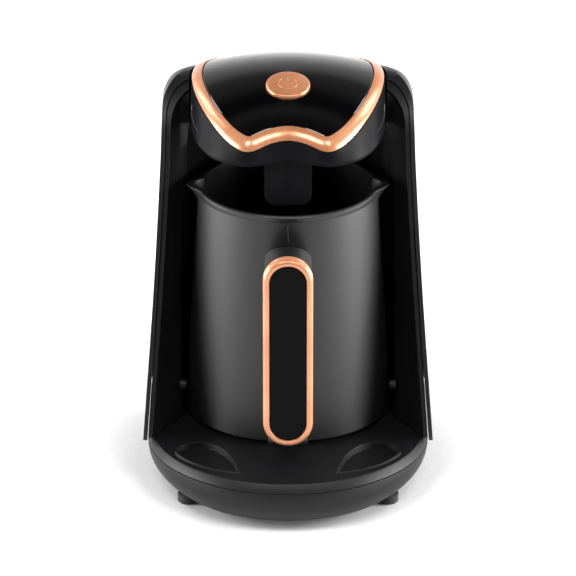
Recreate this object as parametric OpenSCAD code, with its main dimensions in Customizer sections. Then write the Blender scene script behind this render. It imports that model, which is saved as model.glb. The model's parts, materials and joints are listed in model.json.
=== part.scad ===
// Electric coffee maker for turkish coffee: a round base with a rear column and
// two side wings, an overhanging head with one button and a boil sensor, and a
// heated pot with a handle, which pulls straight out of its bay.
// X runs across, Y from front to back, Z up from the table.

/* [Shell] */
// Width across the wings at their foot
body_w = 156.2; // [152:0.2:160]
// Width across the wings under the roof corners
body_top_w = 135.2; // [131:0.1:139]
// Depth from the front of the base to the back of the shell
body_d = 186; // [183:0.5:192]
// Height of the shell's roof
roof_z = 209.6; // [207.5:0.1:211]
// Radius of the roof corners, seen from the front
roof_corner_r = 13; // [9:0.5:16]
// Depth of the rounding at the back of the shell
back_round = 45; // [38:1:50]
// Wall of the shell
shell_t = 2.2; // [1.8:0.1:2.6]
// Height of the shell's lower edge
shell_foot_z = 27.6; // [27:0.1:28.5]
// How far the wings' front edge leans back, in degrees
wing_lean = 19; // [17:0.5:21]
// Radius of the wings' top front corner, seen from the side
wing_corner_r = 42; // [36:1:46]

/* [Liner and bay] */
// Radius of the bay that the pot stands in
bay_r = 58; // [57.5:0.1:59.5]
// Wall of the liner behind the bay
liner_t = 2.4; // [2:0.1:3]
// Height of the ceiling of the bay beside the head
bay_top_z = 200; // [197:0.5:201]
// How far the liner's front edge lies behind the shell's edge
liner_setback = 1.4; // [0.8:0.1:2.5]
// Gap between the liner and the shell
liner_gap = 0.4; // [0.2:0.05:0.8]
// Height of the guide pads in the bay
guide_z = 48; // [42:1:60]

/* [Base] */
// Radius of the base at the seam of its two halves
base_r = 75.7; // [75:0.1:76.2]
// Radius of the base's rear corners
base_corner_r = 40; // [34:1:46]
// How far the bowl draws in towards its bottom
bowl_draw = 12.6; // [9:0.2:15]
// How far forward the bottom of the bowl lies
bowl_forward = 5.5; // [0:0.5:8]
// Height of the bottom of the bowl
bowl_z = 5; // [4:0.5:7]
// Height of the seam between bowl and deck
seam_z = 24.3; // [23.5:0.1:25]
// Height of the deck
deck_z = 29.2; // [28.8:0.1:29.6]
// Width of the bevel round the deck
deck_bevel = 2.7; // [2:0.1:3.4]
// Wall of the bowl and the deck
base_t = 2.4; // [2:0.1:2.8]
// Depth of the crescent hollows in the deck
crescent_d = 3.2; // [2:0.1:3.6]
// Radius of the arc that closes the hollows at the front
crescent_front_r = 46; // [45:0.5:47]
// Width of the sloping ledge along that arc
ledge_w = 2.6; // [1.5:0.1:3.5]
// Radius of a foot
foot_r = 5.8; // [5:0.1:7]

/* [Head] */
// Height of the underside of the head
head_z = 184.3; // [183:0.1:186]
// Height of the crest of the top panel
dome_z = 218.4; // [216:0.1:221]
// Width of the metal trim
trim_w = 5.4; // [4.5:0.1:6.2]
// Drop of the trim's lower edge at the front
trim_front_drop = 4; // [3:0.1:5]
// Wall of the head housing
head_t = 2.4; // [2:0.1:2.8]
// Thickness of the top panel
panel_t = 2.4; // [2:0.1:3]
// Diameter of the power button
button_d = 23.6; // [20:0.1:25]
// How far the button stands out of the panel
button_proud = 1.3; // [0.8:0.1:2]
// Travel of the button
button_travel = 1.2; // [0.8:0.1:1.4]
// Gap round the button
button_gap = 0.4; // [0.3:0.05:0.6]
// Width of the sensor housing
sensor_w = 25.2; // [20:0.2:28]
// Height of the bottom of the sensor housing
sensor_z = 159.9; // [159.4:0.1:164]

/* [Pot] */
// Radius of the pot's foot
pot_foot_r = 56; // [54:0.1:56.6]
// Radius of the pot at the rim
pot_rim_r = 48.6; // [46:0.1:50]
// Height of the pot's lower edge
pot_foot_z = 31; // [30.6:0.1:32]
// Height of the rim
pot_rim_z = 158.4; // [150:0.1:158.8]
// Wall of the pot
pot_t = 2.8; // [2.4:0.1:3.4]
// Height of the top of the heating plate
plate_z = 51; // [49:0.5:56]
// How far the spouts reach from the pot's axis
spout_r = 55; // [53:0.2:56.5]
// Height of each spout below the rim
spout_h = 8.4; // [6:0.2:12]
// Radius of the foot ring that the pot stands on
pot_ring_r = 51; // [46:0.5:52]

/* [Handle] */
// Width of the handle
handle_w = 26.4; // [22:0.2:30]
// Height of the bottom of the handle
handle_z = 44.5; // [43:0.5:50]
// Height of the top of the handle
handle_top_z = 151; // [140:0.5:152]
// Reach of the handle in front of the pot's axis
handle_reach = 91; // [84:0.5:96]
// Thickness of the grip from front to back
grip_t = 14; // [12:0.5:16]
// Width of the metal ring round the handle's face
ring_w = 3.3; // [2.5:0.1:4.5]

/* [Hidden] */
$fn = 96;

eps = 0.01;
far = 200;

// Clearances
fit = 0.1;          // between pieces of one body
slide_fit = 0.3;    // between the pot and what it slides past
stand_gap = 0.2;    // under the pot's foot ring

// Places, from the centre of the base's round front
base_cy = base_r - body_d / 2;
back_y = body_d - base_r;          // back of the shell
rear_room = 20.1;                  // from the bay's rear wall to the back, for the socket
pot_y = back_y - rear_room - bay_r;    // axis of the pot and of the bay
wing_foot_y = pot_y - 48.2;        // front edge of the wings at their foot
foot_lap = 0.2;                    // between the edge of the base and the wings round it
base_side = body_w / 2 - shell_t - foot_lap;    // half the width of the base at the back
base_back_y = back_y - 2.5;
dome_y = pot_y + 27.8;             // crest of the top panel
dome_reach = 60;                   // from the crest to the front of the dome's fall
button_y = dome_y - 27;

matte = "#2b2c2e";
dark = "#1b1c1e";
gloss = "#0c0c0e";
copper = "#c98a62";
steel = "#b9bcc0";
brass = "#c8a24a";
board_green = "#1f5b3a";
rubber = "#161616";

// ---------------------------------------------------------------- outlines

function sum_of(v, i = 0) = i >= len(v) ? [0, 0, 0] : v[i] + sum_of(v, i + 1);
function middle(ring) = sum_of(ring) / len(ring);
function wrap(i, n) = (i + n) % n;

// Closed skin through rings of points, with a fan at both ends
module loft(rings) {
    n = len(rings[0]);
    m = len(rings);
    points = [for (r = rings) each r, middle(rings[0]), middle(rings[m - 1])];
    sides = [for (k = [0 : m - 2], i = [0 : n - 1])
        let (a = k * n + i, b = k * n + wrap(i + 1, n), c = b + n, d = a + n)
        each [[a, d, c], [a, c, b]]];
    first = [for (i = [0 : n - 1]) [i, wrap(i + 1, n), m * n]];
    last = [for (i = [0 : n - 1])
        [(m - 1) * n + wrap(i + 1, n), (m - 1) * n + i, m * n + 1]];
    polyhedron(points = points, faces = concat(sides, first, last), convexity = 8);
}

// Closed ring through like sections of points
module ring_loft(sections) {
    n = len(sections[0]);
    m = len(sections);
    faces = [for (k = [0 : m - 1], i = [0 : n - 1])
        let (a = k * n + i, b = k * n + wrap(i + 1, n),
            c = wrap(k + 1, m) * n + wrap(i + 1, n), d = wrap(k + 1, m) * n + i)
        each [[a, d, c], [a, c, b]]];
    polyhedron(points = [for (s = sections) each s], faces = faces, convexity = 8);
}

function arc(c, r, a0, a1, n) =
    [for (i = [0 : n]) let (a = a0 + (a1 - a0) * i / n) c + r * [cos(a), sin(a)]];

// Smooth curve through points, the first and last of which only steer it
function blend4(p, q, r, s, t) = 0.5 * (2 * q + (r - p) * t
    + (2 * p - 5 * q + 4 * r - s) * t * t + (3 * q - p - 3 * r + s) * t * t * t);
function smooth(p, n) = [for (i = [1 : len(p) - 3], k = [0 : n - 1])
    blend4(p[i - 1], p[i], p[i + 1], p[i + 2], k / n)];

// Rounded rectangle from its lower left and upper right corners
module rounded(p, q, r) {
    polygon(concat(
        arc([q[0] - r, p[1] + r], r, -90, 0, 12), arc([q[0] - r, q[1] - r], r, 0, 90, 12),
        arc([p[0] + r, q[1] - r], r, 90, 180, 12), arc([p[0] + r, p[1] + r], r, 180, 270, 12)));
}

module at_base() translate([0, base_cy, 0]) children();
module at_pot() translate([0, base_cy + pot_y, 0]) children();
module both_sides() for (s = [0, 1]) mirror([s, 0, 0]) children();
// Lays an outline in X and Z out along Y, from y0 to y1
module along_y(y0, y1) translate([0, y1, 0]) rotate([90, 0, 0]) linear_extrude(y1 - y0) children();
// Lays an outline in Y and Z out along X, from -x to x
module along_x(x) rotate([90, 0, 90]) translate([0, 0, -x]) linear_extrude(2 * x) children();

// ---------------------------------------------------------------- shell

// Half the width of the body at a height: its sides spread more and more towards the foot
side_power = 1.3;
side_steps = 7;
arc_z = roof_z - roof_corner_r;
function body_hw(z) = body_top_w / 2 + (body_w - body_top_w) / 2
    * pow(max(0, min(1.1, (arc_z - z) / (arc_z - shell_foot_z))), side_power);

// Front view of the body drawn in by a distance, as points in X and Z
function arch(inset, drop, z0) =
    let (r = roof_corner_r + inset * 0.5, wt = body_top_w / 2 - inset, zt = roof_z - drop,
        z1 = zt - r, right = concat(arc([wt - r, z1], r, 90, 0, 7),
            [for (k = [1 : side_steps])
                let (z = z1 + (z0 - z1) * k / side_steps,
                    full = arc_z - (arc_z - shell_foot_z) * (z1 - z) / (z1 - shell_foot_z))
                [body_hw(full) - inset, z]]))
    concat([for (i = [len(right) - 1 : -1 : 0]) [-right[i][0], right[i][1]]], right);

function at_y(outline, y) = [for (p = outline) [p[0], y, p[1]]];

// Skin of the body, drawn in by a wall
function body_rings(wall, z0) = [
    at_y(arch(wall, wall, z0), wing_foot_y - 20),
    for (a = [0 : 12.5 : 87.5])
        let (in = back_round * (1 - cos(a)))
        at_y(arch(wall + in * 0.78, wall + in * 0.62, z0),
            back_y - back_round + (back_round - wall) * sin(a))];

// Side view of what lies behind the wings' front edge, moved back by a distance
module behind_edge(back) {
    top_z = roof_z + 0.5;
    lean_y = tan(wing_lean);
    corner = [wing_foot_y + back + (top_z - shell_foot_z) * lean_y, top_z];
    reach = wing_corner_r * tan((90 - wing_lean) / 2);
    centre = [corner[0] + reach, top_z - wing_corner_r];
    tip = [wing_foot_y + back, shell_foot_z];
    polygon(concat(
        arc(centre, wing_corner_r, 90, 180 - wing_lean, 16),
        arc(tip + [3.2, 3], 3, 180 - wing_lean, 270, 5),
        [[far, shell_foot_z], [far, roof_z + 20], [centre[0], roof_z + 20]]));
}

module outer_shell() color(matte) at_base() {
    difference() {
        intersection() {
            loft(body_rings(0, shell_foot_z));
            along_x(far) behind_edge(0);
        }
        difference() {
            loft(body_rings(shell_t, shell_foot_z - 1));
            both_sides() translate([shell_post[0], shell_post[1], deck_z + fit]) {
                cylinder(r = post_r, h = shell_post_top);
                translate([0, -1.2, 0]) cube([20, 2.4, shell_post_top]);
            }
        }
        head_room(slide_fit);
        both_sides() translate([shell_post[0], shell_post[1], 0])
            cylinder(r = pilot_r, h = deck_z + shell_post_top - 6);
    }
}

// ---------------------------------------------------------------- liner

// Mouth of the bay: from the wings' edge in to the straight walls of the bay
function edge_y(z) =
    let (top_z = roof_z + 0.5, lean_y = tan(wing_lean),
        cy = wing_foot_y + liner_setback + (top_z - shell_foot_z) * lean_y
            + wing_corner_r * tan((90 - wing_lean) / 2),
        cz = top_z - wing_corner_r,
        tangent_z = cz + wing_corner_r * sin(wing_lean))
    z < tangent_z ? wing_foot_y + liner_setback + (z - shell_foot_z) * lean_y
        : cy - sqrt(max(0, pow(wing_corner_r, 2) - pow(z - cz, 2)));

mouth_foot_y = pot_y - 19.2;    // where the splay meets the bay at the deck
mouth_top_y = pot_y + 23.8;     // and at the ceiling
mouth_wall = 2.2;      // how much the liner's edge shows inside the shell

function mouth_y(z) = mouth_foot_y + (mouth_top_y - mouth_foot_y) * (z - deck_z) / (bay_top_z - deck_z);

function bay_arch(w, top, z0, n) =
    let (r = 4, right = concat(arc([w - r, top - r], r, 90, 0, n),
        [for (k = [1 : side_steps]) [w, top - r + (z0 - top + r) * k / side_steps]]))
    concat([for (i = [len(right) - 1 : -1 : 0]) [-right[i][0], right[i][1]]], right);

module bay_mouth() {
    wall = shell_t + liner_gap + mouth_wall;
    front = arch(wall, wall, shell_foot_z - 2);
    inner = bay_arch(bay_r, bay_top_z, shell_foot_z - 2, 7);
    deep = bay_arch(bay_r - 16, bay_top_z - 16, shell_foot_z - 2, 7);
    loft([at_y(front, -far),
        [for (p = front) [p[0], edge_y(p[1]), p[1]]],
        [for (p = inner) [p[0], mouth_y(p[1]), p[1]]],
        at_y(deep, pot_y + 30)]);
}

module bay() {
    translate([0, pot_y, 0]) cylinder(r = bay_r, h = bay_top_z);
    translate([-bay_r, mouth_foot_y - 3, 0]) cube([2 * bay_r, pot_y - mouth_foot_y + 3, bay_top_z]);
}

module inner_liner() color(matte) at_base() {
    difference() {
        intersection() {
            loft(body_rings(shell_t + liner_gap, deck_z + fit));
            along_x(far) behind_edge(liner_setback);
        }
        bay();
        bay_mouth();
        head_room(0);
        difference() {
            along_x(far) polygon([[pot_y + 9, 0], [pot_y + 9, 100], [mouth_y(bay_top_z) + 7, bay_top_z - 6],
                [far, bay_top_z - 6], [far, 0]]);
            translate([0, pot_y, -1]) cylinder(r = bay_r + liner_t, h = far * 2);
            both_sides() translate([head_post[0], head_post[1], head_z - 34]) cylinder(r = post_r, h = 40);
            translate([-socket_w / 2 - 3, pot_y + bay_r - 3, socket_z - 3])
                cube([socket_w + 6, 6, socket_h + 6]);
        }
        translate([-far, dome_y + 22, bay_top_z - 7]) cube([2 * far, far, 30]);
        along_y(pot_y + 20, pot_y + bay_r + 10) socket_outline(fit);
        both_sides() translate([head_post[0], head_post[1], head_z - 16]) cylinder(r = pilot_r, h = 40);
    }
    both_sides() guide_pad();
}

// Small pad on the wall of the bay that centres the pot as it slides in
module guide_pad() {
    reach = bay_r - pot_r_at(guide_z) - slide_fit;
    translate([bay_r + 0.5, mouth_foot_y + 2, guide_z]) rotate([0, -90, 0])
        cylinder(r1 = 3, r2 = 2.4, h = reach + 0.5);
}

// ---------------------------------------------------------------- base

// Plan of the base at a height: a round front between the wings' sides and two rear corners,
// drawn in and moved forward
module base_plan(z, t, draw, forward) {
    translate([0, -forward, z]) intersection() {
        cylinder(r = base_r - draw, h = t);
        translate([draw - base_side, -far, 0]) cube([2 * (base_side - draw), 2 * far, t]);
    }
    both_sides() translate([base_side - base_corner_r, base_back_y - base_corner_r, z])
        cylinder(r = base_corner_r - draw, h = t, $fn = 48);
}

// Bowl drawn in by a wall, from its bottom to the seam: each level is a thin plan
bowl_levels = 8;
module bowl_form(wall, z0) {
    hull() {
        base_plan(z0, 0.1, bowl_draw + 3.4 + wall, bowl_forward);
        for (k = [0 : bowl_levels]) {
            t = k / bowl_levels;
            base_plan(z0 + 0.9 + (seam_z - z0 - 1) * t, 0.1,
                bowl_draw * pow(1 - t, 2.2) + wall, bowl_forward * (1 - t));
        }
    }
}

// Deck: a plain edge over a fine seam groove, and a bevel up to the top
module deck_form(wall, low, top) {
    hull() {
        base_plan(low, 0.4, 0.3 + wall, 0);
        base_plan(low + 0.7, 0.1, wall, 0);
        base_plan(top - 0.6, 0.1, deck_bevel - 0.6 + wall, 0);
        base_plan(top - 0.1, 0.1, deck_bevel + wall, 0);
    }
}

// Where posts and screws stand: x and y from the centre of the base's front
post_r = 4.4;
pilot_r = 1.55;
screw_r = 1.5;
screw_head_r = 3;
deck_posts = [[base_r - 17.7, 8], [base_side - 25.7, base_back_y - 43.8]];
deck_post_z = 16;
shell_post = [body_w / 2 - 13.1, back_y - 34.3];
shell_post_top = 30;    // height of the shell's posts over the deck
head_post = [23.5, pot_y + bay_r + 0.6];
foot_reach = base_r - 13.7;      // of the front feet, from the middle of the round front
foot_angle = -30.3;
feet = [foot_reach * [cos(foot_angle), sin(foot_angle)], [base_side - 27.7, base_back_y - 27.8]];
foot_pin_r = 2.4;
board_w = 90;
board_d = 60;
board_y = -10;          // front edge of the power board
board_in = 8;           // from the board's front and rear edges to its posts
board_hole_r = 1.4;
board_posts = [for (y = [board_y + board_in, board_y + board_d - board_in]) [board_w / 2 - 9, y]];
board_z = 12;
port = [36, pot_y + 53.8];       // way for the wires through the deck and the head's floor
port_r = 5;
socket_port = [0, pot_y + bay_r + 7.8];
gland_x = -34;
gland_z = 15.2;
gland_r = 6;
cord_r = 3.8;

module foot_places() both_sides() for (p = feet) translate([p[0], p[1], 0]) children();
module deck_screw_places() both_sides() for (p = deck_posts) translate([p[0], p[1], 0]) children();

module base_bowl() color(matte) at_base() difference() {
    union() {
        difference() {
            bowl_form(0, bowl_z);
            bowl_form(base_t, bowl_z + base_t);
        }
        deck_screw_places() translate([0, 0, bowl_z + 1]) cylinder(r = post_r, h = deck_post_z - bowl_z - 1);
        both_sides() for (p = board_posts) translate([p[0], p[1], bowl_z + 1])
            cylinder(r = 3, h = board_z - bowl_z - 1);
        translate([gland_x, 0, gland_z]) along_y(base_back_y - 11, base_back_y) circle(gland_r + 2.6);
    }
    deck_screw_places() {
        translate([0, 0, -1]) cylinder(r = screw_head_r + 0.4, h = bowl_z + 4);
        cylinder(r = screw_r + fit, h = deck_post_z + 1);
    }
    foot_places() cylinder(r = foot_pin_r + fit / 2, h = bowl_z + base_t + 1);
    translate([gland_x, 0, gland_z]) along_y(base_back_y - 20, base_back_y + 1) circle(gland_r + fit);
}

module rubber_feet() color(rubber) at_base() foot_places() {
    rotate_extrude() polygon([[0, 0], [foot_r - 0.8, 0], [foot_r, 0.8], [foot_r, bowl_z], [0, bowl_z]]);
    translate([0, 0, bowl_z - 1]) cylinder(r = foot_pin_r, h = base_t + 1);
}

module base_screws() color(steel) at_base() deck_screw_places() {
    translate([0, 0, bowl_z + 0.9]) cylinder(r = screw_head_r, h = 2.1);
    translate([0, 0, bowl_z + 2.5]) cylinder(r = screw_r, h = deck_z - base_t - bowl_z - 4);
}

module cord_gland() color(rubber) at_base() translate([gland_x, 0, gland_z]) difference() {
    union() {
        along_y(base_back_y, base_back_y + 2) circle(gland_r + 1.8);
        along_y(base_back_y - 13, base_back_y + 1) circle(gland_r);
    }
    along_y(base_back_y - 14, base_back_y + 3) circle(cord_r);
}

// Plan of the right hollow: a swept rear edge from tip to tip, closed by an arc
crescent_in = 10;       // from the edge of the base to the middle of the hollow
crescent_at = (base_r - crescent_in) * [cos(45), -sin(45)];
function by_crescent(points) = [for (p = points) crescent_at + p];
function heading(v) = atan2(v[1], v[0]);
crescent_middle = crescent_at + [-25.96, 32.96];
crescent_tips = by_crescent([[15.5, 13.5], [-21.06, -12.74]]);
crescent_rear = smooth(concat(by_crescent([[17.5, 4.5]]), [crescent_tips[0]],
    by_crescent([[12, 21.6], [6, 26.2], [-1.5, 26.6], [-9.7, 20.8], [-16.5, 7.9]]),
    [crescent_tips[1]], by_crescent([[-22.5, -23.5]])), 4);
module crescent_plan() polygon(concat(crescent_rear, [crescent_tips[1]],
    arc(crescent_middle, crescent_front_r, heading(crescent_tips[1] - crescent_middle),
        heading(crescent_tips[0] - crescent_middle), 14)));

// The hollow and the ledge in front of it, sunk by a depth and grown by a wall
module crescent_sink(depth, grow) {
    hull() {
        translate([0, 0, deck_z - 0.01]) linear_extrude(1) offset(delta = grow) intersection() {
            crescent_plan();
            translate(crescent_middle) circle(crescent_front_r - ledge_w);
        }
        translate([0, 0, deck_z - depth]) linear_extrude(0.1) offset(delta = grow - 0.5) intersection() {
            crescent_plan();
            translate(crescent_middle) circle(crescent_front_r - ledge_w);
        }
    }
}
ledge_drop = 2;
module crescent_ledge() intersection() {
    translate([0, 0, deck_z - 3]) linear_extrude(5) crescent_plan();
    translate(crescent_middle) rotate_extrude() polygon([[10, deck_z + 1], [10, deck_z - 0.15],
        [crescent_front_r - ledge_w, deck_z - 0.15], [crescent_front_r, deck_z - ledge_drop],
        [crescent_front_r, deck_z + 1]]);
}

module base_deck() color(matte) at_base() difference() {
    union() {
        difference() {
            deck_form(0, seam_z, deck_z);
            deck_form(base_t, seam_z - 1, deck_z - base_t);
        }
        both_sides() difference() {
            crescent_sink(crescent_d + 1.6, 1.8);
            translate([-far, -far, deck_z - 0.5]) cube([2 * far, 2 * far, 5]);
        }
        deck_screw_places() translate([0, 0, deck_post_z]) cylinder(r = post_r, h = deck_z - 1 - deck_post_z);
    }
    both_sides() {
        crescent_sink(crescent_d, 0);
        crescent_ledge();
    }
    deck_screw_places() cylinder(r = pilot_r, h = deck_z - base_t);
    translate([port[0], port[1], 0]) cylinder(r = port_r, h = 60);
    translate([socket_port[0], socket_port[1], 0]) cylinder(r = port_r, h = 60);
    both_sides() translate([shell_post[0], shell_post[1], 0]) cylinder(r = screw_r + fit, h = 60);
}

module shell_screws() color(steel) at_base()
    both_sides() translate([shell_post[0], shell_post[1], deck_z - base_t - 2]) {
        cylinder(r = screw_head_r, h = 2);
        cylinder(r = screw_r, h = 18);
    }

// ---------------------------------------------------------------- power board

board_t = 1.6;
board_top = board_z + board_t;

module at_board(x, y) translate([x, board_y + y, board_top]) children();
module power_board() color(board_green) at_base() difference() {
    translate([-board_w / 2, board_y, board_z]) cube([board_w, board_d, board_t]);
    both_sides() for (p = board_posts) translate([p[0], p[1], 0]) cylinder(r = board_hole_r, h = 30);
}
core_w = 24;
core_d = 20;
core_h = 4;
coil_in = 3;
coil_d = 23;
coil_h = 7;
module transformer() color("#3b3a36") at_base() at_board(-38, 16) {
    cube([core_w, core_d, core_h]);
    translate([coil_in, (core_d - coil_d) / 2, core_h]) cube([core_w - 2 * coil_in, coil_d, coil_h]);
}
relay_w = 18;
relay_d = 15;
relay_h = 11;
module relay() color("#1d3f7a") at_base() at_board(22, 18) cube([relay_w, relay_d, relay_h]);
capacitor_r = 4;
capacitor_h = 11;
module capacitor() color("#22262b") at_base() at_board(0, 10) cylinder(r = capacitor_r, h = capacitor_h);

// Straight run of wire between two points
module run(p, q, r) {
    d = q - p;
    translate(p) rotate([0, acos(d[2] / norm(d)), atan2(d[1], d[0])]) cylinder(r = r, h = norm(d));
}

wire_r = 2.2;
wire_in = 0.4;          // a level run is this much thinner than the upright one
wire_z = board_top + wire_r;
module wire_harness() color("#8c2f2a") at_base() {
    translate([port[0], port[1], wire_z - wire_r]) cylinder(r = wire_r, h = head_z + 10 - wire_z + wire_r);
    run([port[0], board_y + board_d - 10, wire_z], [port[0], port[1], wire_z], wire_r - wire_in);
    run([port[0], port[1], head_z + 8], [14, dome_y - 10, head_z + 13], wire_r - wire_in);
}
module socket_wires() color("#3a4a78") at_base() {
    run([socket_port[0], board_y + board_d - 6, wire_z], [socket_port[0], socket_port[1], wire_z],
        wire_r - wire_in);
    translate([socket_port[0], socket_port[1], wire_z - wire_r])
        cylinder(r = wire_r, h = socket_z - wire_z + wire_r);
}

// ---------------------------------------------------------------- socket of the pot

socket_w = 30;
socket_z = 33.2;
socket_h = 14;
socket_d = 12;
socket_y = pot_y + bay_r - 1;        // front face of the socket
pin_x = 8;
pin_r = 1.5;
pin_hole_r = 1.8;
pin_z = socket_z + socket_h / 2;
pin_len = 8;

module socket_outline(grow) {
    rounded([-socket_w / 2 - grow, socket_z - grow], [socket_w / 2 + grow, socket_z + socket_h + grow], 3);
}
module pin_places() for (x = [-pin_x, 0, pin_x]) translate([x, 0, pin_z]) children();

module pot_socket() color(dark) at_base() difference() {
    along_y(socket_y, socket_y + socket_d) socket_outline(0);
    pin_places() along_y(socket_y - 1, socket_y + pin_len + 2) circle(pin_hole_r);
}

// ---------------------------------------------------------------- head

// Right half of the head's outline, from the front middle to the back middle
head_right = [for (p = [[-9, -39.1], [0, -37.4], [9, -39.1], [20.7, -43.4], [30, -37.2], [38.7, -23.8],
    [46.2, -5.7], [50.8, 13.8], [51.6, 31.8], [48, 48.8], [36, 61.8], [18, 67.8], [0, 69.3], [-18, 67.8]])
    [p[0], pot_y + p[1]]];
head_steps = 4;
head_outline = let (right = smooth(head_right, head_steps), n = len(right))
    concat(right, [head_right[len(head_right) - 2]],
        [for (i = [n - 1 : -1 : 1]) [-right[i][0], right[i][1]]]);
head_n = len(head_outline);
// Direction from each point of the outline into the head
head_in = [for (i = [0 : head_n - 1])
    let (t = head_outline[wrap(i + 1, head_n)] - head_outline[wrap(i - 1, head_n)]) [-t[1], t[0]] / norm(t)];
function head_at(inset) = [for (i = [0 : head_n - 1]) head_outline[i] + head_in[i] * inset];

// Height of the top panel's surface: an arched side profile with a crown across
crown_r = 176;
dome_front_drop = 15.1;
dome_rear_drop = 3.1;
function dome(p) = dome_z - pow(p[0], 2) / (2 * crown_r)
    - (p[1] < dome_y ? dome_front_drop * pow((dome_y - p[1]) / dome_reach, 1.63)
        : dome_rear_drop * pow((p[1] - dome_y) / 24, 2.7));

// Height of the trim's lower edge round the outline
trim_side_drop = 0.8;
function trim_low(p) = dome(p) - trim_side_drop
    - (trim_front_drop - trim_side_drop) * max(0, min(1, (dome_y - 7 - p[1]) / 64));

function flat(outline, z) = [for (p = outline) [p[0], p[1], z]];
function on_trim(inset, lift) = [for (i = [0 : head_n - 1])
    let (p = head_outline[i] + head_in[i] * inset) [p[0], p[1], trim_low(head_outline[i]) + lift]];

// How much wider the chin is than the trim: it swells beside the two front lobes
function under_trim(outline, share) = [for (i = [0 : head_n - 1])
    [outline[i][0], outline[i][1], head_z + 2.4 + (trim_low(head_outline[i]) - head_z - 2.4) * share]];
chin_flare = 1.2;
chin_swell = 4.4;
swell_y = pot_y - 28.2;
function flare(p) = chin_flare + chin_swell * max(0, min(1, (abs(p[0]) - 19) / 13))
    * exp(-pow((p[1] - swell_y) / (p[1] < swell_y ? 13 : 30), 2));
function chin_at(share, more) = [for (i = [0 : head_n - 1])
    head_outline[i] - head_in[i] * (flare(head_outline[i]) * share + more)];

module head_room(gap) {
    translate([0, 0, head_z - eps]) linear_extrude(60) polygon(chin_at(1, gap));
}

module head_housing() color(matte) at_base() difference() {
    loft([flat(chin_at(1, -2.4), head_z), flat(chin_at(1, -0.7), head_z + 0.7),
        flat(chin_at(1, 0), head_z + 2.4), under_trim(chin_at(0.75, 0), 0.35),
        under_trim(chin_at(0.35, 0), 0.75), under_trim(chin_at(0.1, 0), 1)]);
    loft([flat(chin_at(1, -2.4 - head_t), head_z + head_t), flat(chin_at(0.6, -head_t), head_z + head_t + 3),
        on_trim(head_t, -2.5), on_trim(head_t, 12)]);
    both_sides() translate([head_post[0], head_post[1], 0]) cylinder(r = screw_r + fit, h = far);
    translate([port[0], port[1], 0]) cylinder(r = port_r - 1, h = far);
    translate([0, sensor_y + sensor_t / 2, head_z - 1]) cylinder(r = 2.5, h = 6);
}

module head_screws() color(steel) at_base()
    both_sides() translate([head_post[0], head_post[1], head_z + head_t]) {
        cylinder(r = screw_head_r, h = 2);
        translate([0, 0, -14]) cylinder(r = screw_r, h = 15);
    }

// Section of the trim at a point of the outline, bulging between its two edges
trim_bulge = 0.55;
function trim_section(i) =
    let (p = head_outline[i], q = p + head_in[i] * trim_w, z0 = trim_low(p), h = dome(q) + 0.25 - z0,
        under = [[0, 0.05], [head_t, 0.7], [trim_w - 0.5, h - 1.6], [trim_w, h - 1.1]],
        band = [for (k = [0 : 6]) let (a = 90 - 15 * k, t = a / 90)
            [trim_w * (trim_bulge * (1 - cos(a)) + (1 - trim_bulge) * t),
                h * (trim_bulge * sin(a) + (1 - trim_bulge) * t) + 0.05]])
    [for (s = concat(under, [for (k = [0 : 5]) band[k]]))
        let (xy = p + head_in[i] * s[0]) [xy[0], xy[1], z0 + s[1]]];

module head_trim() color(copper) at_base() ring_loft([for (i = [0 : head_n - 1]) trim_section(i)]);

panel_middle = [0, pot_y + 15.8];
function panel_ring(s, drop) = [for (p = head_at(trim_w + 0.3))
    let (q = panel_middle + (p - panel_middle) * s) [q[0], q[1], dome(q) - drop]];

// Frame of the button: its axis stands square on the panel
button_tilt = atan(1.63 * dome_front_drop / dome_reach * pow((dome_y - button_y) / dome_reach, 0.63));
module at_button() translate([0, button_y, dome([0, button_y])]) rotate([button_tilt, 0, 0]) children();

button_r = button_d / 2;
button_low = -2.8;        // underside of the cap
collar_t = 1.5;
collar_low = -6;
control_top = -11;        // top of the control board
board_screw_at = [20, 14];
module board_screw_places() both_sides() for (y = [-board_screw_at[1], board_screw_at[1]])
    translate([board_screw_at[0], y, 0]) children();

module top_panel() color(gloss) at_base() difference() {
    union() {
        loft([panel_ring(0.3, panel_t), panel_ring(0.7, panel_t), panel_ring(1, panel_t),
            panel_ring(1, 0.3), panel_ring(0.99, 0), panel_ring(0.86, 0), panel_ring(0.7, 0),
            panel_ring(0.52, 0), panel_ring(0.34, 0), panel_ring(0.16, 0)]);
        at_button() {
            translate([0, 0, collar_low]) cylinder(r = button_r + button_gap + collar_t, h = -collar_low - 1);
            board_screw_places() translate([0, 0, control_top]) cylinder(r = 2.6, h = -control_top - 2.6);
        }
    }
    at_button() {
        translate([0, 0, collar_low - 1]) cylinder(r = button_r + button_gap, h = 20);
        board_screw_places() translate([0, 0, control_top - 1]) cylinder(r = 1.25, h = 8);
    }
}

module power_button() color(copper) at_base() at_button() {
    rotate_extrude() polygon(concat(
        [[0, button_low], [button_r - 0.3, button_low], [button_r, button_low + 0.3]],
        arc([button_r - 1, button_proud - 1], 1, 0, 80, 6), [[0, button_proud + 0.5]]));
    translate([0, 0, switch_top + button_travel + fit])
        cylinder(r = 2.5, h = button_low - switch_top - button_travel);
}

switch_top = -5.9;
plunger_r = 1.7;
module switch_plunger() color(dark) at_base() at_button()
    translate([0, 0, switch_top + button_travel + fit - 2.6]) cylinder(r = plunger_r, h = 2.6);

module tact_switch() color("#2e2e30") at_base() at_button() difference() {
    translate([-3, -3, control_top]) cube([6, 6, switch_top - control_top]);
    translate([0, 0, switch_top - 2.8]) cylinder(r = plunger_r + 0.1, h = 4);
}

module control_board() color(board_green) at_base() at_button() difference() {
    translate([-25, -19, control_top - board_t]) cube([50, 38, board_t]);
    board_screw_places() translate([0, 0, control_top - 4]) cylinder(r = 1.35, h = 6);
}

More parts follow.
